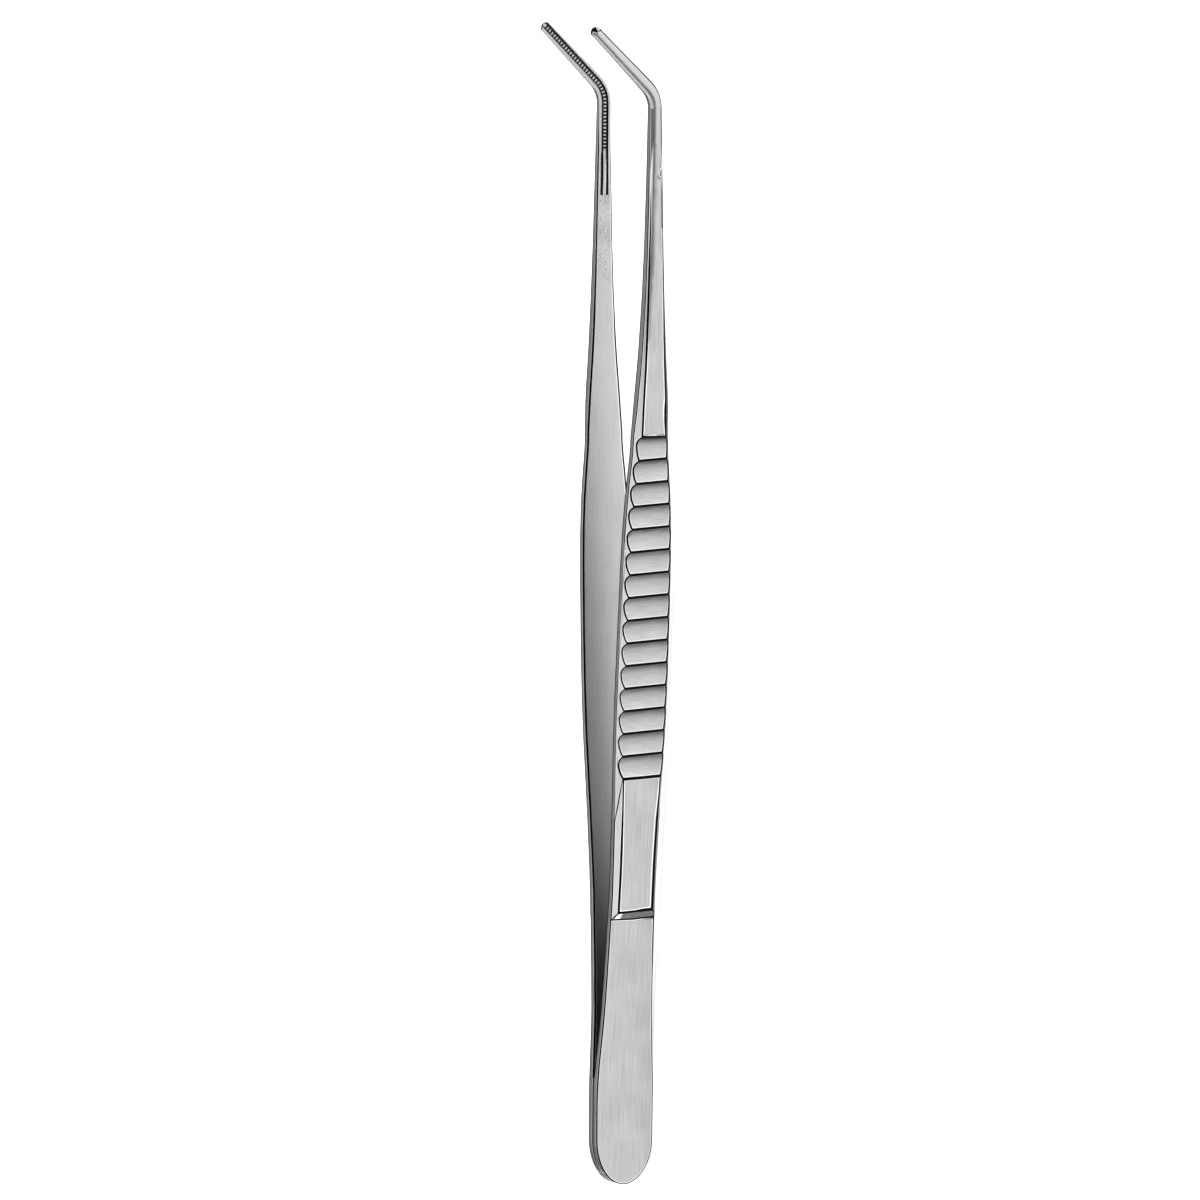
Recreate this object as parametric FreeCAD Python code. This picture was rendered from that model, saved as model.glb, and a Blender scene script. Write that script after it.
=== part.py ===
import FreeCAD, Part
import math
import os

# Thumb forceps, in millimetres: two sprung arms welded face to face at their rear ends.
# X runs along the arms from the welded end to the jaws, Y is the way the arms open,
# and Z is the width of the arms, towards which the jaws are bent.

# Lengths along an arm, from the rear end forwards
padLength = 18.6         # welded thumb pad
springLength = 27.5      # thin leaf between the pad and the step
plainLength = 24.6       # handle between the step and the first scallop
scallopPitch = 3.91      # one finger scallop
scallopCount = 15
shankLength = 56.2       # from the last scallop to the bend
tipLength = 14.45        # straight jaw in front of the bend

# Half-widths of an arm along its plan outline
rearLength = 7.9         # length of the half ellipse that ends the thumb pad
rearEase = 0.02          # by which that ellipse is narrower than the full pad
padHalf = 5.4
springHalf = 4.54
waistHalf = 4.18
bellyHalf = 4.8
gripHalf = 4.58
gripFrontHalf = 3.35
shankHalf = 2.11
slimHalf = 1.57
jawHalf = 1.3
bendHalf = 1.14
tipHalf = 0.88

# Thickness of an arm and its relief at the weld
padThickness = 1.5
springThickness = 1.27
handleThickness = 2.35
slimThickness = 2.0
bendThickness = 1.5
tipThickness = 1.0
rootRelief = 0.22        # radius of the round root where the gap starts
rearBendRadius = 150.0   # easy bend of the outer face where the leaf leaves the pad
stepRun = 1.2            # length of the ramp from the leaf up to the handle
stepSkew = 4.2           # degrees by which the ramp's foot is off square
stepBack = 2.0           # how far the cut above the leaf runs back from the ramp

# Set of the arms when they are at rest
jawHalfGap = 9.05         # from the middle plane to the face of a jaw
bowTangent = 61.0        # length of the bow on each side of its middle
levelLength = 0.5        # level stretch of an arm between its bow and the bend

# Long bevels on the outer edges, as depth and width, and the crown of the outer face
stepBevelDepth = 0.95
stepBevelWidth = 0.88
gripBevelDepth = 1.2
gripBevelWidth = 0.97
shankBevel = 0.78
slimBevel = 0.26
tipBevel = 0.22
bevelChange = 4.5        # length over which the bevel narrows in front of the grip
handleCrown = 0.02
slimCrown = 0.36
tipCrown = 0.26

# Finger scallops
scallopDepth = 0.7
scallopFront = 1.45      # from the front crest back to the deepest line
crestDrop = 0.24         # of the crests between two scallops, below the outer face
scallopSkew = 3.3        # degrees by which the scallops are cut off square

# Jaws
bendRadius = 5.1
bendAngle = 46.0
noseRadius = 1.0         # rounding of the jaw's end in plan
noseChamfer = 0.5        # drop of the outer face at the jaw's end
noseSlope = 0.8          # how far that chamfer runs back
toothedLength = 8.6      # toothed length behind the bend
runOutLength = 6.9       # from the last tooth to the points of the grooves
ridgeWidth = 0.5         # middle ridge of the single-row jaw
grooveWidth = 0.44       # groove on each side of that ridge
grooveDepth = 0.36
rowClearance = 0.03      # between a row of teeth and the groove that takes it
rowHeight = 0.26
toothPitch = 0.62
toothDepth = 0.17
toothMouth = 0.4         # width of the notch between two teeth
endMargin = 0.45         # plain length at the very end of the jaw
pointWidth = 0.06        # width and depth of a groove at the point where it ends
pointDepth = 0.02

# How far a cutting or joining shape reaches past the face that it works on
noseOver = 1.0
rowOver = 0.2
notchOver = 0.02
notchSideOver = 0.05

# Sections of the smooth stretches
leafSamples = 8
handleSections = 10
shankSections = 9

# Stations worked out from the lengths
stepX = padLength + springLength
gripRearX = stepX + plainLength
gripLength = scallopPitch * scallopCount
gripFrontX = gripRearX + gripLength
bendX = gripFrontX + shankLength
padWideX = padLength * 0.8
springMiddleX = padLength + springLength * 0.47
waistX = stepX + plainLength * 0.25
bellyX = gripRearX + gripLength * 0.24
gripTaperX = gripRearX + gripLength * 0.65
bevelEndX = gripFrontX + bevelChange
shankMiddleX = gripFrontX + shankLength * 0.32
crownX = gripFrontX + shankLength * 0.5
slimX = gripFrontX + shankLength * 0.56
jawRootX = gripFrontX + shankLength * 0.8
bowEndX = bendX - levelLength
bowX = bowEndX - bowTangent
bendArc = bendRadius * math.radians(bendAngle)
pathEnd = bendArc + tipLength
gapSlope = (jawHalfGap - rootRelief) / (bowX - padLength - rootRelief)
bowRadius = bowTangent / math.tan(math.atan(gapSlope) / 2)
bowStartX = bowX - bowTangent * math.cos(math.atan(gapSlope))


def vec(x, y, z):
    return FreeCAD.Vector(x, y, z)


def along(stations, x):
    """Smooth value at x between (station, value) pairs, without overshoot."""
    xs = [s for s, v in stations]
    vs = [v for s, v in stations]
    if x <= xs[0]:
        return vs[0]
    if x >= xs[-1]:
        return vs[-1]
    steps = [b - a for a, b in zip(xs, xs[1:])]
    rises = [(b - a) / h for a, b, h in zip(vs, vs[1:], steps)]
    slopes = [rises[0]]
    for before, after in zip(rises, rises[1:]):
        level = before * after <= 0
        slopes.append(0.0 if level else 2 * before * after / (before + after))
    slopes.append(rises[-1])
    i = max(k for k in range(len(steps)) if xs[k] <= x)
    t = (x - xs[i]) / steps[i]
    start = (1 + 2 * t) * (1 - t) ** 2 * vs[i] + t * (1 - t) ** 2 * steps[i] * slopes[i]
    end = t * t * (3 - 2 * t) * vs[i + 1] + t * t * (t - 1) * steps[i] * slopes[i + 1]
    return start + end


halfWidths = [
    (rearLength, padHalf - rearEase),
    (padWideX, padHalf),
    (springMiddleX, springHalf),
    (waistX, waistHalf),
    (bellyX, bellyHalf),
    (gripTaperX, gripHalf),
    (gripFrontX, gripFrontHalf),
    (shankMiddleX, shankHalf),
    (slimX, slimHalf),
    (jawRootX, jawHalf),
    (bendX, bendHalf),
]
thicknesses = [
    (gripFrontX, handleThickness),
    (slimX, slimThickness),
    (bendX, bendThickness),
]
bevelDepths = [
    (stepX, stepBevelDepth),
    (gripRearX, gripBevelDepth),
    (gripFrontX, gripBevelDepth),
    (bevelEndX, shankBevel),
    (crownX, slimBevel),
    (bendX, slimBevel),
]
bevelWidths = [
    (stepX, stepBevelWidth),
    (gripRearX, stepBevelWidth),
    (bellyX, gripBevelWidth),
    (gripFrontX, gripBevelWidth),
    (bevelEndX, shankBevel),
    (crownX, slimBevel),
    (bendX, slimBevel),
]
crowns = [
    (gripFrontX, handleCrown),
    (bevelEndX, handleCrown),
    (crownX, slimCrown),
    (bendX, slimCrown),
]


def innerFace(x):
    """Height of the inner face: straight from the root, then an arc that levels out."""
    if x < bowStartX:
        return rootRelief + gapSlope * (x - padLength - rootRelief)
    if x > bowEndX:
        return jawHalfGap
    return jawHalfGap - bowRadius + math.sqrt(bowRadius ** 2 - (bowEndX - x) ** 2)


def sectionWire(inner, thickness, half, depth, width, crown):
    """Section of an arm in the YZ plane: square inner edges, bevels and a crowned top."""
    outer = inner + thickness - crown
    corners = [
        vec(0, inner, -half),
        vec(0, inner, half),
        vec(0, outer - depth, half),
        vec(0, outer, half - width),
        vec(0, outer, width - half),
        vec(0, outer - depth, -half),
    ]
    edges = [Part.makeLine(a, b) for a, b in zip(corners, corners[1:] + corners[:1])]
    edges[3] = Part.Arc(corners[3], vec(0, outer + crown, 0), corners[4]).toShape()
    return Part.Wire(edges)


def armSection(x):
    wire = sectionWire(
        innerFace(x), along(thicknesses, x), along(halfWidths, x),
        along(bevelDepths, x), along(bevelWidths, x), along(crowns, x))
    wire.translate(vec(x, 0, 0))
    return wire


def onPath(shape, s):
    """Place a shape made at x = 0 at distance s past the bend's start, along the jaw."""
    placed = shape.copy()
    turn = min(max(s / bendRadius, 0.0), math.radians(bendAngle))
    placed.translate(vec(bendX + min(s, 0.0), 0, 0))
    placed.rotate(vec(bendX, 0, bendRadius), vec(0, -1, 0), math.degrees(turn))
    ahead = max(s - bendArc, 0.0)
    placed.translate(vec(ahead * math.cos(turn), 0, ahead * math.sin(turn)))
    return placed


def loftBetween(start, end, count):
    stations = [start + (end - start) * i / count for i in range(count + 1)]
    return Part.makeLoft([armSection(x) for x in stations], True, count == 1)


def prism(points, direction):
    return Part.Face(Part.makePolygon(points + points[:1])).extrude(direction)


def rearPlate():
    """Thumb pad and spring leaf: the plan outline cut to the side profile."""
    step = (stepX - rearLength) / leafSamples
    samples = [rearLength + step * i for i in range(leafSamples + 1)]
    side = Part.BSplineCurve()
    side.interpolate(Points=[vec(x, 0, along(halfWidths, x)) for x in samples])
    upper = side.toShape()
    lower = upper.mirror(vec(0, 0, 0), vec(0, 0, 1))
    end = along(halfWidths, stepX)
    closing = Part.makeLine(vec(stepX, 0, end), vec(stepX, 0, -end))
    arc = rearArc(along(halfWidths, rearLength))
    plan = Part.Face(Part.Wire(Part.__sortEdges__([upper, lower, closing, arc])))
    block = plan.extrude(vec(0, 4 * handleThickness, 0))
    return block.common(rearProfile())


def rearArc(half):
    """Half ellipse round the rear end: half a circle, stretched to the end's length."""
    circle = Part.Arc(vec(0, 0, half), vec(-half, 0, 0), vec(0, 0, -half)).toShape()
    stretch = FreeCAD.Matrix()
    stretch.scale(rearLength / half, 1, 1)
    arc = circle.transformGeometry(stretch)
    arc.translate(vec(rearLength, 0, 0))
    return arc


def rearProfile():
    """Side profile of the thumb pad and leaf, as a block wider than the arm."""
    deep = 2 * padHalf
    bend = rearBendRadius * math.tan(math.atan(gapSlope) / 2)
    middle = bend * gapSlope / 4
    root = vec(padLength, 0, -deep)
    rootMiddle = vec(
        padLength + rootRelief * (1 - math.sqrt(0.5)), rootRelief * math.sqrt(0.5), -deep)
    rootEnd = vec(padLength + rootRelief, rootRelief, -deep)
    innerEnd = vec(stepX, innerFace(stepX), -deep)
    outerEnd = vec(stepX, innerFace(stepX) + springThickness, -deep)
    bendEnd = vec(padLength + bend, padThickness + gapSlope * bend, -deep)
    bendMiddle = vec(padLength, padThickness + middle, -deep)
    bendStart = vec(padLength - bend, padThickness, -deep)
    rearTop = vec(-padThickness, padThickness, -deep)
    rearFoot = vec(-padThickness, 0, -deep)
    edges = [
        Part.makeLine(rearFoot, root),
        Part.Arc(root, rootMiddle, rootEnd).toShape(),
        Part.makeLine(rootEnd, innerEnd),
        Part.makeLine(innerEnd, outerEnd),
        Part.makeLine(outerEnd, bendEnd),
        Part.Arc(bendEnd, bendMiddle, bendStart).toShape(),
        Part.makeLine(bendStart, rearTop),
        Part.makeLine(rearTop, rearFoot),
    ]
    return Part.Face(Part.Wire(edges)).extrude(vec(0, 0, 2 * deep))


def stepCutter():
    """Wedge that leaves a ramp from the leaf up to the handle's outer face."""
    low = innerFace(stepX) + springThickness
    high = innerFace(stepX) + 2 * handleThickness
    reach = stepRun * (high - low) / (handleThickness - springThickness)
    ends = []
    for z in (-padHalf, padHalf):
        foot = stepX - z * math.tan(math.radians(stepSkew))
        points = [
            vec(foot, low, z),
            vec(stepX + reach, high, z),
            vec(stepX - stepBack, high, z),
            vec(stepX - stepBack, low, z),
        ]
        ends.append(Part.makePolygon(points + points[:1]))
    return Part.makeLoft(ends, True, True)


def crest(index, z):
    """Place and height of the crest before a scallop, or of the last one's rear end."""
    ends = index in (0, scallopCount)
    middle = gripFrontX - scallopPitch * index
    skew = 0.0 if index == 0 else math.tan(math.radians(scallopSkew))
    drop = 0.0 if ends else crestDrop
    return middle - skew * z, innerFace(middle) + handleThickness - drop


def scallopOutline(index, z):
    """Section of a scallop: a tight arc down from its front and an easy one up behind."""
    front, frontY = crest(index, z)
    rear, rearY = crest(index + 1, z)
    low = front - scallopFront
    lowY = frontY + (rearY - frontY) * scallopFront / scallopPitch - scallopDepth
    above = frontY + 2 * scallopDepth
    arcs = []
    for edge, edgeY in ((front, frontY), (rear, rearY)):
        run = edge - low
        rise = edgeY - lowY
        radius = (run * run + rise * rise) / (2 * rise)
        half = math.asin(abs(run) / radius) / 2
        middleX = low + math.copysign(radius * math.sin(half), run)
        middleY = lowY + radius * (1 - math.cos(half))
        arcs.append(Part.Arc(
            vec(edge, edgeY, z), vec(middleX, middleY, z), vec(low, lowY, z)).toShape())
    walls = [
        Part.makeLine(vec(rear, rearY, z), vec(rear, above, z)),
        Part.makeLine(vec(rear, above, z), vec(front, above, z)),
        Part.makeLine(vec(front, above, z), vec(front, frontY, z)),
    ]
    return Part.Wire(Part.__sortEdges__(arcs + walls))


def scallopCutter(index):
    ends = [scallopOutline(index, z) for z in (-padHalf, padHalf)]
    return Part.makeLoft(ends, True, True)


def jawPieces():
    """The bend as a turned section, and the straight jaw in front of it."""
    section = sectionWire(
        jawHalfGap, bendThickness, bendHalf, slimBevel, slimBevel, slimCrown)
    tip = sectionWire(jawHalfGap, tipThickness, tipHalf, tipBevel, tipBevel, tipCrown)
    face = Part.Face(section)
    face.translate(vec(bendX, 0, 0))
    bend = face.revolve(vec(bendX, 0, bendRadius), vec(0, -1, 0), bendAngle)
    jaw = Part.makeLoft([onPath(section, bendArc), onPath(tip, pathEnd)], True, True)
    return [bend, jaw]


def noseWaste():
    """What the rounded and chamfered nose leaves off the end of a jaw."""
    top = jawHalfGap + tipThickness
    profile = [
        vec(0, jawHalfGap - noseOver, 0),
        vec(noseRadius, jawHalfGap - noseOver, 0),
        vec(noseRadius, top - noseChamfer, 0),
        vec(noseRadius - noseSlope, top, 0),
        vec(noseRadius - noseSlope, top + noseOver, 0),
        vec(0, top + noseOver, 0),
    ]
    face = Part.Face(Part.makePolygon(profile + profile[:1]))
    nose = face.revolve(vec(0, 0, 0), vec(0, 1, 0), 360)
    side = 2 * noseRadius
    inset = noseOver / 4
    low = jawHalfGap - noseOver + inset
    block = Part.makeBox(
        side, top + noseOver - inset - low, 2 * side, vec(0, low, -side))
    waste = block.cut(nose)
    return onPath(waste, pathEnd - noseRadius)


def stripPieces(centre, width, low, high, start, end):
    """A strip of the jaw's face between two distances along its path."""
    corners = [
        vec(0, low, centre - width / 2),
        vec(0, low, centre + width / 2),
        vec(0, high, centre + width / 2),
        vec(0, high, centre - width / 2),
    ]
    face = Part.Face(Part.makePolygon(corners + corners[:1]))
    straight = onPath(face, start).extrude(vec(-start, 0, 0))
    turned = onPath(face, 0).revolve(vec(bendX, 0, bendRadius), vec(0, -1, 0), bendAngle)
    turn = math.radians(bendAngle)
    ahead = end - bendArc
    front = onPath(face, bendArc).extrude(
        vec(ahead * math.cos(turn), 0, ahead * math.sin(turn)))
    return [straight, turned, front]


def runOut(centre):
    """Tapered end of a groove, down to a point on the arm's inner face."""
    def end(width, depth, x):
        corners = [
            vec(x, jawHalfGap - rowOver, centre - width / 2),
            vec(x, jawHalfGap - rowOver, centre + width / 2),
            vec(x, jawHalfGap + depth, centre + width / 2),
            vec(x, jawHalfGap + depth, centre - width / 2),
        ]
        return Part.makePolygon(corners + corners[:1])
    rear = bendX - toothedLength
    point = rear - runOutLength
    wires = [end(grooveWidth, grooveDepth, rear), end(pointWidth, pointDepth, point)]
    return Part.makeLoft(wires, True, True)


def toothNotches(top, width, drop):
    """V notches across a row, each square to the jaw's path."""
    length = toothedLength + pathEnd - endMargin
    count = int(length / toothPitch)
    notches = []
    for i in range(count):
        s = toothPitch * (i + 0.5) - toothedLength
        points = [
            vec(-toothMouth / 2, top, -width / 2),
            vec(toothMouth / 2, top, -width / 2),
            vec(0, top + drop, -width / 2),
        ]
        notches.append(onPath(prism(points, vec(0, 0, width)), s))
    return notches


def plainArm():
    """One arm at +Y, with its scallops, bend and nose, and a smooth jaw face."""
    pieces = [
        loftBetween(stepX, gripFrontX, handleSections),
        loftBetween(gripFrontX, bevelEndX, 1),
        loftBetween(bevelEndX, bendX, shankSections),
    ]
    arm = rearPlate().fuse(pieces + jawPieces()).removeSplitter()
    scallops = [scallopCutter(i) for i in range(scallopCount)]
    return arm.cut(scallops + [stepCutter(), noseWaste()])


def singleRowArm(arm):
    """The arm whose jaw has one toothed ridge between two grooves."""
    offset = (ridgeWidth + grooveWidth) / 2
    cuts = []
    for centre in (-offset, offset):
        cuts += stripPieces(
            centre, grooveWidth, jawHalfGap - rowOver, jawHalfGap + grooveDepth,
            -toothedLength, pathEnd + rowOver)
        cuts.append(runOut(centre))
    grooved = arm.cut(cuts)
    top = jawHalfGap - notchOver
    width = ridgeWidth + 2 * notchSideOver
    return grooved.cut(toothNotches(top, width, toothDepth + notchOver))


def doubleRowArm(arm):
    """The arm whose jaw has two raised toothed rows that enter those grooves."""
    offset = (ridgeWidth + grooveWidth) / 2
    width = grooveWidth - 2 * rowClearance
    top = jawHalfGap - rowHeight
    rows = []
    for centre in (-offset, offset):
        rows += stripPieces(
            centre, width, top, jawHalfGap + rowOver, -toothedLength, pathEnd - endMargin)
    raised = arm.fuse(rows)
    across = 2 * offset + width + 2 * notchSideOver
    notches = toothNotches(top - notchOver, across, toothDepth + notchOver)
    return raised.cut(notches)


def finish(shape):
    """Move an arm to the part's frame: its origin is under the middle of the box."""
    turn = math.radians(bendAngle)
    jawEnd = bendX + bendRadius * math.sin(turn) + tipLength * math.cos(turn)
    frontX = jawEnd + noseRadius * (1 - math.cos(turn))
    placed = shape.copy()
    placed.translate(vec(-frontX / 2, 0, padHalf))
    return placed


arm = plainArm()
parts = {
    "single_row_arm": singleRowArm(arm),
    "double_row_arm": doubleRowArm(arm).mirror(vec(0, 0, 0), vec(0, 1, 0)),
}

os.makedirs("parts", exist_ok=True)
for name, shape in parts.items():
    solid = finish(shape)
    solid.exportStep("parts/" + name + ".step")
    box = solid.BoundBox
    print(name, solid.ShapeType, "solids", len(solid.Solids), "valid", solid.isValid(),
          "faces", len(solid.Faces), "volume", round(solid.Volume, 2))
    print("  box", [round(v, 3) for v in (box.XMin, box.YMin, box.ZMin)],
          [round(v, 3) for v in (box.XMax, box.YMax, box.ZMax)])
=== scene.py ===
import math

import bmesh
import bpy
from mathutils import Matrix, Vector
from mathutils.geometry import area_tri


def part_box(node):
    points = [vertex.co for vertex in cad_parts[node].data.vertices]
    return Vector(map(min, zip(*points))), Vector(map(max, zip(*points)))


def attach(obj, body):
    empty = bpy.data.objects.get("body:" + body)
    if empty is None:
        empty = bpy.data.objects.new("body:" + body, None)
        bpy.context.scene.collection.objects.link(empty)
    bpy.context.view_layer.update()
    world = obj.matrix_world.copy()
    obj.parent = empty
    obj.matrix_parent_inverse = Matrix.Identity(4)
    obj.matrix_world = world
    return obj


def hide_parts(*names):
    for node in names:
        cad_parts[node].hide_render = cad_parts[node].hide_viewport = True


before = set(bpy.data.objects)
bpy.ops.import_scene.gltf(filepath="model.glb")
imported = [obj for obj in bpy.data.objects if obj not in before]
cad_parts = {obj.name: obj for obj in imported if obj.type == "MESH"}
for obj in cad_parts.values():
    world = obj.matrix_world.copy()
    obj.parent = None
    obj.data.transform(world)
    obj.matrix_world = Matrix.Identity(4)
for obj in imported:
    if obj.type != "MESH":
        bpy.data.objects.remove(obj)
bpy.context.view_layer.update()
mm = 0.001  # everything below is written in real millimetres
smallest = 1e-6

# The two arms lie on their lower side edges: X runs to the jaws, Y is the opening
# and Z is the width, towards which the jaws are bent.


def hexColour(text):
    # sRGB hex to the linear values that shaders take
    parts = [int(text[i:i + 2], 16) / 255 for i in (1, 3, 5)]
    linear = [c / 12.92 if c <= 0.04045 else ((c + 0.055) / 1.055) ** 2.4 for c in parts]
    return (*linear, 1.0)


def addNode(tree, kind, values=None, links=None, **settings):
    # one node, its socket values, its incoming links and its own settings
    node = tree.nodes.new(kind)
    for name, value in settings.items():
        setattr(node, name, value)
    for socket, value in (values or {}).items():
        node.inputs[socket].default_value = value
    for socket, source in (links or {}).items():
        tree.links.new(source, node.inputs[socket])
    return node


# stations along an arm, for the grain of the steel and the finish of each face
arm = {
    "rearX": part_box("single_row_arm")[0].x,
    "middleZ": 5.4 * mm,
    "gripRear": 70.7 * mm,
    "gripFront": 129.35 * mm,
    "gripEase": (0.4 * mm, 0.2 * mm),  # how far scallops may lie behind and before them
    "stepEase": 2.0 * mm,      # the filed step lies farther back than this from the grip
    "bend": 185.55 * mm,
    "bendRadius": 5.1 * mm,
    "bendAngle": math.radians(46),
    "tipFrom": 198.0 * mm,     # where the round end of a jaw begins
    "jawFace": 9.05 * mm,      # from the middle plane to the face of a jaw
    "faceEase": 0.01 * mm,     # a face this near to it is level with it
    "rowsDeep": 0.5 * mm,      # the deepest groove, behind that face
    "rowsBehindBend": 16.0 * mm,
    "rowsHalf": 0.72 * mm,     # half of the ridge and its two grooves
    "ridgeHalf": 0.27 * mm,
    "sharpAngle": math.radians(24),
    "faintAngle": math.radians(8),
}

# how far a face turns one way before it gets a finish: the cosine of its normal with it
turned = {
    "rowsOut": 0.7,     # a face in the rows looks less outward than this
    "teethOut": -0.85,  # the crest of a tooth looks straight inward
    "endAhead": 0.45,
    "sideAcross": 0.8,
    "scallopOut": 0.3,
    "scallopUp": 0.4,
    "innerOut": -0.5,
    "stepAhead": -0.3,  # the filed step looks to the rear
    "bevelAcross": 0.55,
    "flankOut": 0.5,    # below it the grain is laid by depth and not by width
}


def alongArm(point):
    # distance along the arm, distance across it, and the two directions there
    x = point.x - arm["rearX"] - arm["bend"]
    z = point.z - arm["middleZ"]
    radius = arm["bendRadius"]
    turn = 0.0
    if x > 0:
        turn = min(math.atan2(x, max(radius - z, smallest)), arm["bendAngle"])
    forward = Vector((math.cos(turn), 0, math.sin(turn)))
    sideways = Vector((-math.sin(turn), 0, math.cos(turn)))
    start = Vector((radius * math.sin(turn), 0, radius - radius * math.cos(turn)))
    offset = Vector((x, 0, z)) - start
    ahead = offset.dot(forward) if turn in (0.0, arm["bendAngle"]) else 0.0
    distance = arm["bend"] + radius * turn + ahead
    return distance, offset.dot(sideways), forward, sideways


# bare stainless steel, in nine finishes, with lengths in millimetres
steel = {
    "grainWide": 0.17,         # brush lines, drawn as coarse as the picture can show
    "grainDeep": 0.012,
    "grainDetail": 3.0,
    "grainRough": 0.6,
    "grainShown": 0.35,        # strength of their relief
    "cloudSize": 6.0,          # slow change of tone along a hand-buffed face
    "cloudShare": 0.35,
    "toneFrom": (0.45, 0.9),   # from the dark to the light tone of a finish
    "roughFrom": (0.3, 0.7),   # from its rough lines to its smooth ones
    "paintedHighlightFrom": (0.04, 0.2),  # share of a rolled strip where its painted highlight line comes in
    "rimFrom": (0.3, 0.42),    # and where the painted dark reflection line at its edge does
}


def steelMaterial(look):
    # bare metal with fine brush lines, and edges that the buffing wheel rolled over, with a
    # painted highlight line and a painted dark reflection line laid along them; painted shade
    # and painted highlights also come in where a look asks for them
    material = bpy.data.materials.new(look["name"])
    material.use_nodes = True
    tree = material.node_tree
    shader = tree.nodes["Principled BSDF"]
    shader.inputs["Metallic"].default_value = 1.0
    wide, long = 1 / steel["grainWide"], 1 / look["grainLong"]
    place = addNode(tree, "ShaderNodeUVMap", uv_map="grain")
    stretch = (wide, long, 1) if look.get("across") else (long, wide, 1)
    lines = addNode(tree, "ShaderNodeMapping", {"Scale": stretch},
                    {"Vector": place.outputs["UV"]})
    brush = addNode(tree, "ShaderNodeTexNoise",
                    {"Scale": 1.0, "Detail": steel["grainDetail"],
                     "Roughness": steel["grainRough"]},
                    {"Vector": lines.outputs["Vector"]})
    cloud = addNode(tree, "ShaderNodeTexNoise",
                    {"Scale": 1 / steel["cloudSize"], "Detail": 1.0},
                    {"Vector": place.outputs["UV"]})
    mixed = addNode(tree, "ShaderNodeMath", {1: steel["cloudShare"]},
                    {0: cloud.outputs["Fac"], 2: brush.outputs["Fac"]},
                    operation="MULTIPLY_ADD")
    start, full = steel["toneFrom"]
    level = addNode(tree, "ShaderNodeMapRange", {"From Min": start, "From Max": full},
                    {"Value": mixed.outputs["Value"]})
    tint = addNode(tree, "ShaderNodeMix",
                   {6: hexColour(look["dark"]), 7: hexColour(look["light"])},
                   {0: level.outputs["Result"]}, data_type="RGBA").outputs[2]
    for zone, axis in (("ahead", "X"), ("behind", "X"), ("paintedFacetHighlight", "Y")):
        # the tone that the face reaches towards the jaws, the weld or its own upper end: on
        # the bevels the dark tone towards the jaws is a painted dark reflection, on the inner
        # faces the dark tone towards the weld is painted shade, and the bright tone at the
        # upper end of the step is a painted highlight
        if zone not in look:
            continue
        station = addNode(tree, "ShaderNodeSeparateXYZ", None,
                          {"Vector": place.outputs["UV"]})
        near, far = look[zone + "From"]
        share = addNode(tree, "ShaderNodeMapRange", {"From Min": near, "From Max": far},
                        {"Value": station.outputs[axis]}, interpolation_type="SMOOTHSTEP")
        tint = addNode(tree, "ShaderNodeMix", {7: hexColour(look[zone])},
                       {0: share.outputs["Result"], 6: tint}, data_type="RGBA").outputs[2]
    # the strips that were rolled over along the edges, with a painted highlight line on them
    strip = addNode(tree, "ShaderNodeSeparateXYZ", None,
                    {"Vector": addNode(tree, "ShaderNodeUVMap", uv_map="rim").outputs["UV"]})
    start, full = steel["paintedHighlightFrom"]
    paintedHighlight = addNode(tree, "ShaderNodeMapRange",
                    {"From Min": start, "From Max": full, "To Max": look["paintedHighlightShare"]},
                    {"Value": strip.outputs["X"]})
    tint = addNode(tree, "ShaderNodeMix", {7: hexColour(look["paintedHighlight"])},
                   {0: paintedHighlight.outputs["Result"], 6: tint}, data_type="RGBA").outputs[2]
    if "walls" in look:
        # painted shade: faces that look to the rear, away from the light at the jaws' end,
        # are painted darker
        geometry = addNode(tree, "ShaderNodeNewGeometry")
        parts = addNode(tree, "ShaderNodeSeparateXYZ", None,
                        {"Vector": geometry.outputs["Normal"]})
        steep, flat = look["wallsFrom"]
        slope = addNode(tree, "ShaderNodeMapRange", {"From Min": steep, "From Max": flat},
                        {"Value": parts.outputs["X"]})
        tint = addNode(tree, "ShaderNodeMix", {6: hexColour(look["walls"])},
                       {0: slope.outputs["Result"], 7: tint}, data_type="RGBA").outputs[2]
    # the painted dark reflection line at the very edge of each rolled strip
    start, full = steel["rimFrom"]
    rim = addNode(tree, "ShaderNodeMapRange", {"From Min": start, "From Max": full},
                  {"Value": strip.outputs["X"]})
    tint = addNode(tree, "ShaderNodeMix", {7: hexColour(look["rim"])},
                   {0: rim.outputs["Result"], 6: tint}, data_type="RGBA").outputs[2]
    rough, spread = look["roughness"]
    start, full = steel["roughFrom"]
    shine = addNode(tree, "ShaderNodeMapRange",
                    {"From Min": start, "From Max": full,
                     "To Min": rough + spread, "To Max": rough - spread},
                    {"Value": brush.outputs["Fac"]})
    relief = addNode(tree, "ShaderNodeBump",
                     {"Strength": steel["grainShown"], "Distance": steel["grainDeep"] * mm},
                     {"Height": brush.outputs["Fac"]})
    tree.links.new(tint, shader.inputs["Base Color"])
    tree.links.new(shine.outputs["Result"], shader.inputs["Roughness"])
    tree.links.new(relief.outputs["Normal"], shader.inputs["Normal"])
    return material


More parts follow.
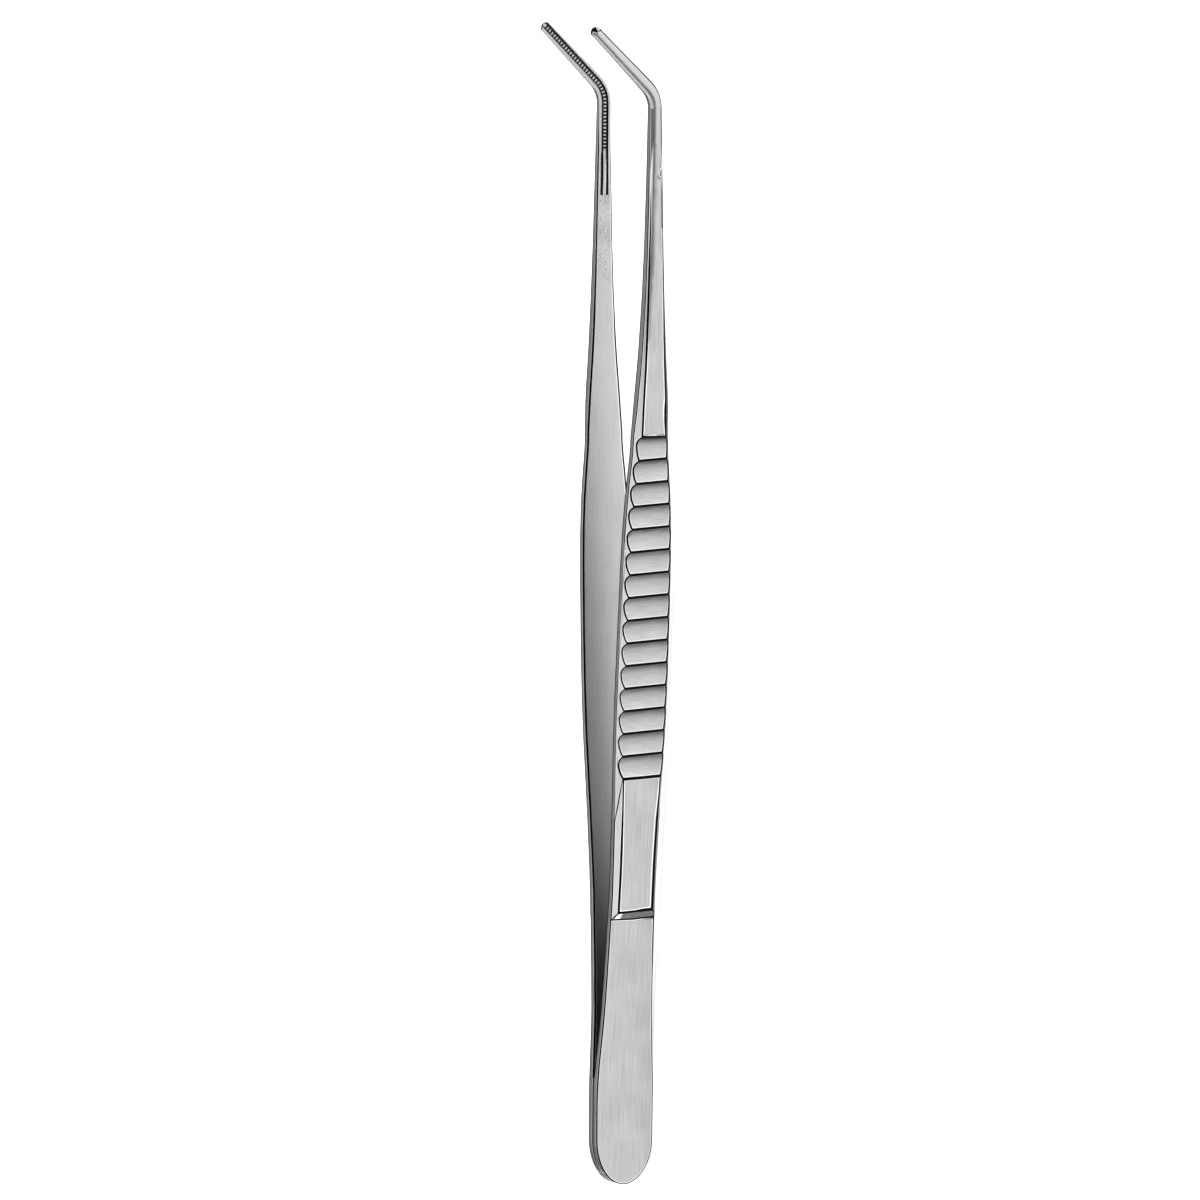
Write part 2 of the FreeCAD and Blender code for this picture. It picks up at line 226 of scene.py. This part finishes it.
looks = {
    # satin ground along the arm: an even soft grey with faint long lines
    "satin": {
        "name": "satin_ground_stainless", "light": "#A8A8A9", "dark": "#909091",
        "rim": "#0C0C0D", "paintedHighlight": "#F2F2F2", "paintedHighlightShare": 0.85, "roughness": (0.33, 0.05),
        "grainLong": 8.0, "ahead": "#A8A8A9", "aheadFrom": (181.0, 190.0)},
    # the step up to the handle, filed by hand, painted dark as shade since it looks to the
    # rear, with a painted highlight at its upper end
    "step": {
        "name": "filed_stainless_step_painted_shade_and_highlight", "light": "#7C7C7E", "dark": "#565658",
        "rim": "#0C0C0D", "paintedHighlight": "#8C8C8E", "paintedHighlightShare": 0.4, "roughness": (0.38, 0.05),
        "grainLong": 2.0, "across": True, "paintedFacetHighlight": "#F4F4F4", "paintedFacetHighlightFrom": (2.3, 2.7)},
    # inner faces, left as the flat grinder leaves them: a shade duller
    "inner": {
        "name": "flat_ground_stainless_painted_gap_shade", "light": "#ACACAD", "dark": "#A0A0A1",
        "rim": "#0C0C0D", "paintedHighlight": "#F2F2F2", "paintedHighlightShare": 0.85, "roughness": (0.36, 0.04),
        "grainLong": 8.0, "ahead": "#A2A2A3", "aheadFrom": (140.0, 165.0),
        # painted shade: darker towards the weld, where the gap between the arms closes
        "behind": "#7E7E7F", "behindFrom": (66.0, 26.0)},
    # scallops cut with a round wheel: short marks across the arm that spread the shine
    "scallop": {
        "name": "cross_brushed_stainless_painted_wall_shade", "light": "#C4C4C5", "dark": "#ACACAD",
        "rim": "#0C0C0D", "paintedHighlight": "#F8F8F8", "paintedHighlightShare": 0.9, "roughness": (0.36, 0.07),
        "grainLong": 3.0, "across": True,
        # painted shade on the scallop walls that look to the rear
        "walls": "#4A4A4B", "wallsFrom": (-0.7, 0.58)},
    # long bevels, polished finer; the darker tone where the arm grows slim is a painted dark
    # reflection
    "bevel": {
        "name": "polished_stainless_bevel_painted_reflection", "light": "#BEBEBF", "dark": "#AEAEAF",
        "rim": "#0C0C0D", "paintedHighlight": "#F4F4F4", "paintedHighlightShare": 0.9, "roughness": (0.28, 0.05),
        "grainLong": 8.0, "ahead": "#5A5A5C", "aheadFrom": (124.0, 165.0)},
    # lower bevels and the ends of the jaws, polished to a mirror and glossy; their near black
    # tone is a painted dark reflection
    "under": {
        "name": "mirror_polished_bevel_painted_dark_reflection", "light": "#202021", "dark": "#161617",
        "rim": "#0C0C0D", "paintedHighlight": "#2A2A2B", "paintedHighlightShare": 0.3, "roughness": (0.25, 0.04),
        "grainLong": 8.0},
    # narrow sides, wiped on a soft belt: a clearer shine that shows dark
    "side": {
        "name": "belt_ground_stainless_side", "light": "#BCBCBD", "dark": "#A6A6A7",
        "rim": "#0C0C0D", "paintedHighlight": "#F0F0F0", "paintedHighlightShare": 0.3, "roughness": (0.28, 0.04),
        "grainLong": 8.0},
    # grooves of the jaws, milled steel painted near black as shade in the recesses
    "groove": {
        "name": "milled_groove_painted_shade", "light": "#39393A", "dark": "#242425",
        "rim": "#0E0E0F", "paintedHighlight": "#39393A", "paintedHighlightShare": 0.2, "roughness": (0.42, 0.05),
        "grainLong": 0.5, "across": True},
    # rows of milled teeth: bright crests over the grooves painted dark as shade
    "tooth": {
        "name": "milled_stainless_teeth", "light": "#B4B4B5", "dark": "#7A7A7B",
        "rim": "#2A2A2B", "paintedHighlight": "#F4F4F4", "paintedHighlightShare": 0.5, "roughness": (0.3, 0.05),
        "grainLong": 0.5, "across": True},
}
finishes = {key: steelMaterial(look) for key, look in looks.items()}


def finishOf(centre, normal, outward):
    # which of the finishes a face of the arm has, from where it lies and looks
    distance, across, forward, sideways = alongArm(centre)
    facing = normal.y * outward
    tilt = normal.dot(sideways)
    depth = centre.y * outward
    jaw = distance > arm["bend"] - arm["rowsBehindBend"]
    inRows = abs(across) < arm["rowsHalf"] and depth < arm["jawFace"] + arm["rowsDeep"]
    if jaw and inRows and facing < turned["rowsOut"]:
        level = abs(depth - arm["jawFace"]) < arm["faceEase"]
        middle = abs(across) < arm["ridgeHalf"]
        if middle or not level:
            ridge = middle == (outward > 0)
            return "tooth" if ridge and facing < turned["teethOut"] else "groove"
    if distance > arm["tipFrom"] and normal.dot(forward) > turned["endAhead"]:
        return "under"
    if abs(tilt) > turned["sideAcross"]:
        return "side"
    behind, before = arm["gripEase"]
    inGrip = arm["gripRear"] - behind < distance < arm["gripFront"] + before
    if inGrip and facing > turned["scallopOut"] and abs(normal.z) < turned["scallopUp"]:
        return "scallop"
    if facing < turned["innerOut"]:
        return "inner"
    if normal.x < turned["stepAhead"] and distance < arm["gripRear"] - arm["stepEase"]:
        return "step"
    if facing > 0 and tilt < -turned["bevelAcross"]:
        return "under"
    if facing > 0 and tilt > turned["bevelAcross"] and distance < arm["bend"]:
        return "bevel"
    return "satin"


# the strips rolled over along the edges, on each side of an edge
roll = {
    "joinWithin": 0.002 * mm,  # corners of the source's facets that are one
    "flatAngle": math.radians(0.6),  # facets that are one face
    "width": 0.5 * mm,
    "bevelWidth": 0.27 * mm,
    "sideWidth": 0.5 * mm,
    "scallopWidth": 0.45 * mm,
    "lowerWidth": 0.75 * mm,   # along the lower edge of the outer face, over the handle
    "lowerFrom": 46 * mm,
    "lowerAcross": -2.2 * mm,
    "slimWidth": 0.38 * mm,    # on the slim front of an arm
    "slimFrom": 150 * mm,
    "rowsWidth": 0.1 * mm,     # beside the rows and their grooves
    "rowsFrom": 158 * mm,
    "tailWidth": 0.3 * mm,     # beside the grooves where they run out behind the teeth
    "teethFrom": 176.5 * mm,
    "mostOfFace": 0.3,         # a strip takes no more of its face than this
    "mostStretch": 2.0,        # how far it reaches into a sharp corner, in widths
    "trial": 0.1 * mm,         # width at which a strip is cut, before it is set
    "shares": (1.0, 0.8, 0.6, 0.4, 0.2),  # of its width, tried from the widest
    "mostOverlap": 0.15 * mm * mm,  # folded area that a wider try may have over the best
    "clear": 0.47 * mm,        # no corner inside a face lies nearer to its edge than this
    "mostCorners": 400,        # faces with more corners along their edge stay as they are
}


def smoothRegions(work):
    # the faces between sharp edges, as lists, always in the same order
    regions, left = [], set(work.faces)
    for first in work.faces:
        if first not in left:
            continue
        region, reached = [], [first]
        left.discard(first)
        while reached:
            face = reached.pop()
            region.append(face)
            for edge in face.edges:
                if edge.smooth:
                    beside = [f for f in edge.link_faces if f in left]
                    left.difference_update(beside)
                    reached.extend(beside)
        regions.append(region)
    return regions


def markBorders(work, outward):
    # marks the edges round each smooth face, also where a bevel flattens into the face
    # beside it, and tells how sharp the edge is at each of its corners
    sharpness = {}
    for edge in work.edges:
        angle = edge.calc_face_angle(math.pi)
        kinds = {finishOf(f.calc_center_median(), f.normal, outward) for f in edge.link_faces}
        bevelLine = len(kinds) == 2 and kinds & {"bevel", "under"} and "scallop" not in kinds
        edge.smooth = angle < arm["sharpAngle"] and not bevelLine
        if not edge.smooth:
            share = (angle - arm["faintAngle"]) / (arm["sharpAngle"] - arm["faintAngle"])
            for vert in edge.verts:
                place = tuple(vert.co)
                sharpness[place] = max(min(share, 1.0), sharpness.get(place, 0.0))
    return sharpness


def clearEdges(work):
    # dissolves the corners inside a curved face that lie too near its edge for a strip
    for region in smoothRegions(work):
        border = {vert for face in region for edge in face.edges if not edge.smooth
                  for vert in edge.verts}
        if len(border) >= roll["mostCorners"]:
            continue
        corners = dict.fromkeys(vert for face in region for vert in face.verts)
        near = [vert for vert in corners
                if vert not in border and alongArm(vert.co)[0] < roll["slimFrom"]
                and min((vert.co - other.co).length for other in border) < roll["clear"]]
        bmesh.ops.dissolve_verts(work, verts=near)
    work.normal_update()


def stripWidth(face, outward, corner):
    # how wide a face's rolled strip is at one of its corners
    distance, across = alongArm(corner)[:2]
    kind = finishOf(face.calc_center_median(), face.normal, outward)
    if kind in ("inner", "tooth", "groove") and distance > roll["rowsFrom"]:
        return roll["rowsWidth" if distance > roll["teethFrom"] else "tailWidth"]
    if kind in ("bevel", "under", "step"):
        return roll["bevelWidth"]
    handle = roll["lowerFrom"] < distance < roll["slimFrom"]
    if kind == "satin" and handle and across < roll["lowerAcross"]:
        return roll["lowerWidth"]
    if kind in ("side", "scallop"):
        return roll[kind + "Width"]
    return roll["slimWidth"] if distance > roll["slimFrom"] else roll["width"]


def overlap(work, faces):
    # area that the triangles of these faces cover more than once: a sign of a fold
    cover = sum(area_tri(*(loop.vert.co for loop in triangle))
                for triangle in work.calc_loop_triangles() if triangle[0].face in faces)
    return cover - sum(face.calc_area() for face in faces)


def placeStrip(rungs, widest, share, narrowed):
    # sets the inner corners of a strip at its width, or at a share of it where narrowed
    for inner, (outer, reach, width) in rungs.items():
        stretch = min(reach / roll["trial"], roll["mostStretch"])
        way = (inner.co - outer.co).normalized()
        part = share if inner in narrowed else 1.0
        inner.co = outer.co + way * stretch * min(width, widest) * part


def findRungs(made, outward, places):
    # the inner corners of a strip, each with its outer corner, its reach and its width
    rungs = {}
    for face in made:
        face.normal_update()
        for edge in face.edges:
            outer = [vert for vert in edge.verts if tuple(vert.co) in places]
            if len(outer) != 1:
                continue
            reach = edge.calc_length()
            width = stripWidth(face, outward, outer[0].co)
            rung = rungs.setdefault(edge.other_vert(outer[0]), [outer[0], reach, width])
            if reach < rung[1]:
                rung[:2] = outer[0], reach
            rung[2] = min(rung[2], width)
    return rungs


def rollEdges(work, outward, places):
    # lays a narrow strip inside every smooth region, along the sharp edges round it
    strips = set()
    for region in smoothRegions(work):
        kinds = {finishOf(face.calc_center_median(), face.normal, outward) for face in region}
        if kinds <= {"tooth", "groove"}:
            continue
        border = [edge for face in region for edge in face.edges if not edge.smooth]
        area = sum(face.calc_area() for face in region)
        length = max(sum(edge.calc_length() for edge in border), mm)
        widest = roll["mostOfFace"] * 2 * area / length
        made = bmesh.ops.inset_region(
            work, faces=region, use_boundary=True, use_even_offset=True,
            thickness=roll["trial"])["faces"]
        strips.update(made)
        whole = set(region).union(made)
        rungs = findRungs(made, outward, places)
        narrowed = {inner for inner, rung in rungs.items()
                    if alongArm(rung[0].co)[0] > roll["teethFrom"]} or rungs
        folds = []
        for share in roll["shares"]:
            placeStrip(rungs, widest, share, narrowed)
            folds.append(overlap(work, whole))
        most = min(folds) + roll["mostOverlap"]
        best = next(share for share, fold in zip(roll["shares"], folds) if fold <= most)
        placeStrip(rungs, widest, best, narrowed)
    work.normal_update()
    return strips


def dressArm(node, outward):
    # a copy of the arm with rolled edges, a grain that follows it, and its finishes
    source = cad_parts[node]
    work = bmesh.new()
    work.from_mesh(source.data)
    bmesh.ops.remove_doubles(work, verts=work.verts, dist=roll["joinWithin"])
    bmesh.ops.dissolve_limit(
        work, angle_limit=roll["flatAngle"], verts=work.verts, edges=work.edges)
    work.normal_update()
    markBorders(work, outward)
    clearEdges(work)
    sharpness = markBorders(work, outward)
    strips = rollEdges(work, outward, sharpness)
    grain = work.loops.layers.uv.new("grain")
    rim = work.loops.layers.uv.new("rim")
    order = list(finishes)
    for edge in work.edges:
        rolled = all(face in strips for face in edge.link_faces)  # shine runs round it
        edge.smooth = rolled or edge.calc_face_angle(math.pi) < arm["sharpAngle"]
    for face in work.faces:
        face.smooth = True
        centre = face.calc_center_median()
        face.material_index = order.index(finishOf(centre, face.normal, outward))
        flank = abs(face.normal.y) < turned["flankOut"]
        for loop in face.loops:
            distance, across = alongArm(loop.vert.co)[:2]
            second = loop.vert.co.y if flank else across
            loop[grain].uv = (distance / mm, second / mm)
            # where each corner lies across its rolled strip, which places the painted
            # highlight and painted dark reflection lines
            edgeShare = sharpness.get(tuple(loop.vert.co), 0.0) if face in strips else 0.0
            loop[rim].uv = (edgeShare, 0.0)
    mesh = bpy.data.meshes.new(node + "_steel")
    work.to_mesh(mesh)
    work.free()
    for finish in finishes.values():
        mesh.materials.append(finish)
    piece = bpy.data.objects.new(node + "_steel", mesh)
    bpy.context.collection.objects.link(piece)
    flow = piece.modifiers.new("flow", "WEIGHTED_NORMAL")
    flow.keep_sharp = True
    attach(piece, "root")
    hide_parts(node)
    print(node, "dressed:", len(mesh.polygons), "faces,", len(strips), "in rolled strips")
    return piece


dressArm("single_row_arm", 1)
dressArm("double_row_arm", -1)


# studio: a plain pale floor lit a little from below, soft boxes and a soft ceiling
studio = {
    "floorSize": 8.0,
    "floorDrop": 0.05 * mm,
    "floorLight": "#F6F6F5",
    "floorDark": "#F0F0EF",
    "floorRough": 0.9,
    "floorGloss": 0.1,
    "floorCloud": 3.0,       # clouds in a metre, of the paper's two tones
    "floorDetail": 2.0,
    "floorGlow": 0.6,        # the light table that keeps shadows faint
    "skyBright": 1.45,
    "skyDim": 0.12,          # dark walls of the studio, up to skyLow above the floor
    "skyLow": 0.42,
    "skyHigh": 0.74,
    # soft boxes: where each hangs, its two sizes and its power in watts
    "tipBox": ((1.1, -0.3, 0.8), (0.8, 0.8), 10.0),
    "rearBox": ((-1.1, -0.3, 0.8), (0.8, 0.8), 4.0),
}


def makeFloor():
    half = studio["floorSize"] / 2
    mesh = bpy.data.meshes.new("floor")
    corners = [(-half, -half, 0), (half, -half, 0), (half, half, 0), (-half, half, 0)]
    mesh.from_pydata(corners, [], [(0, 1, 2, 3)])
    floor = bpy.data.objects.new("floor", mesh)
    bpy.context.collection.objects.link(floor)
    material = bpy.data.materials.new("matt_paper_floor")  # smooth matt sweep
    material.use_nodes = True
    tree = material.node_tree
    shader = tree.nodes["Principled BSDF"]
    shader.inputs["Roughness"].default_value = studio["floorRough"]
    shader.inputs["Specular IOR Level"].default_value = studio["floorGloss"]
    place = addNode(tree, "ShaderNodeTexCoord")
    cloud = addNode(tree, "ShaderNodeTexNoise",
                    {"Scale": studio["floorCloud"], "Detail": studio["floorDetail"]},
                    {"Vector": place.outputs["Object"]})
    tint = addNode(tree, "ShaderNodeMix",
                   {6: hexColour(studio["floorDark"]), 7: hexColour(studio["floorLight"])},
                   {0: cloud.outputs["Fac"]}, data_type="RGBA")
    tree.links.new(tint.outputs[2], shader.inputs["Base Color"])
    shader.inputs["Emission Color"].default_value = (1, 1, 1, 1)
    shader.inputs["Emission Strength"].default_value = studio["floorGlow"]
    mesh.materials.append(material)
    floor.location.z = -studio["floorDrop"]


def softBox(name):
    # a soft light that looks at the middle of the forceps
    place, size, power = studio[name]
    light = bpy.data.lights.new(name, "AREA")
    light.shape = "RECTANGLE"
    light.size, light.size_y = size
    light.energy = power
    box = bpy.data.objects.new(name, light)
    box.location = place
    box.rotation_mode = "QUATERNION"
    box.rotation_quaternion = (-Vector(place)).to_track_quat("-Z", "Y")
    bpy.context.collection.objects.link(box)


def makeSky():
    # a wide soft ceiling over dark walls, which the bevels and the sides mirror
    world = bpy.data.worlds.new("studio")
    world.use_nodes = True
    tree = world.node_tree
    background = tree.nodes["Background"]
    place = addNode(tree, "ShaderNodeTexCoord")
    parts = addNode(tree, "ShaderNodeSeparateXYZ", None,
                    {"Vector": place.outputs["Generated"]})
    level = addNode(tree, "ShaderNodeMapRange",
                    {"From Min": studio["skyLow"], "From Max": studio["skyHigh"],
                     "To Min": studio["skyDim"], "To Max": studio["skyBright"]},
                    {"Value": parts.outputs["Z"]}, interpolation_type="SMOOTHSTEP")
    tree.links.new(level.outputs["Result"], background.inputs["Strength"])
    background.inputs["Color"].default_value = (1, 1, 1, 1)
    bpy.context.scene.world = world


makeFloor()
makeSky()
softBox("tipBox")
softBox("rearBox")
print("studio ready")


# camera: a long lens, turned so that the forceps stand upright in the picture
camera = {
    "azimuth": math.radians(5.216),
    "elevation": math.radians(27.232),
    "roll": math.radians(0.481),
    "distance": 2.610,
    "focal": 15226.7,          # in pixels of the picture
    "picture": 1200,
    "target": Vector((0, 0, 8 * mm)),
    "offCentre": (11.5, 5.738),  # where the target falls, right and below the middle
    "sensor": 36.0,
    "clip": (0.1, 20.0),
}


def makeCamera():
    swing, lift, tip = camera["azimuth"], camera["elevation"], camera["roll"]
    back = Vector((math.sin(swing) * math.cos(lift), -math.cos(swing) * math.cos(lift),
                   math.sin(lift)))
    level = Vector((1, 0, 0)) - back * back.x
    level.normalize()
    across = level.cross(back)
    up = math.cos(tip) * level - math.sin(tip) * across
    right = math.cos(tip) * across + math.sin(tip) * level
    perPixel = camera["distance"] / camera["focal"]
    offRight, offDown = camera["offCentre"]
    aim = camera["target"] - right * offRight * perPixel + up * offDown * perPixel
    data = bpy.data.cameras.new("camera")
    data.sensor_width = camera["sensor"]
    data.lens = camera["focal"] / camera["picture"] * data.sensor_width
    data.clip_start, data.clip_end = camera["clip"]
    view = bpy.data.objects.new("camera", data)
    turn = Matrix((right, up, back)).transposed().to_4x4()
    view.matrix_world = Matrix.Translation(aim + back * camera["distance"]) @ turn
    bpy.context.collection.objects.link(view)
    bpy.context.scene.camera = view


makeCamera()
bpy.context.scene.view_settings.view_transform = "Standard"

print("forceps ready")
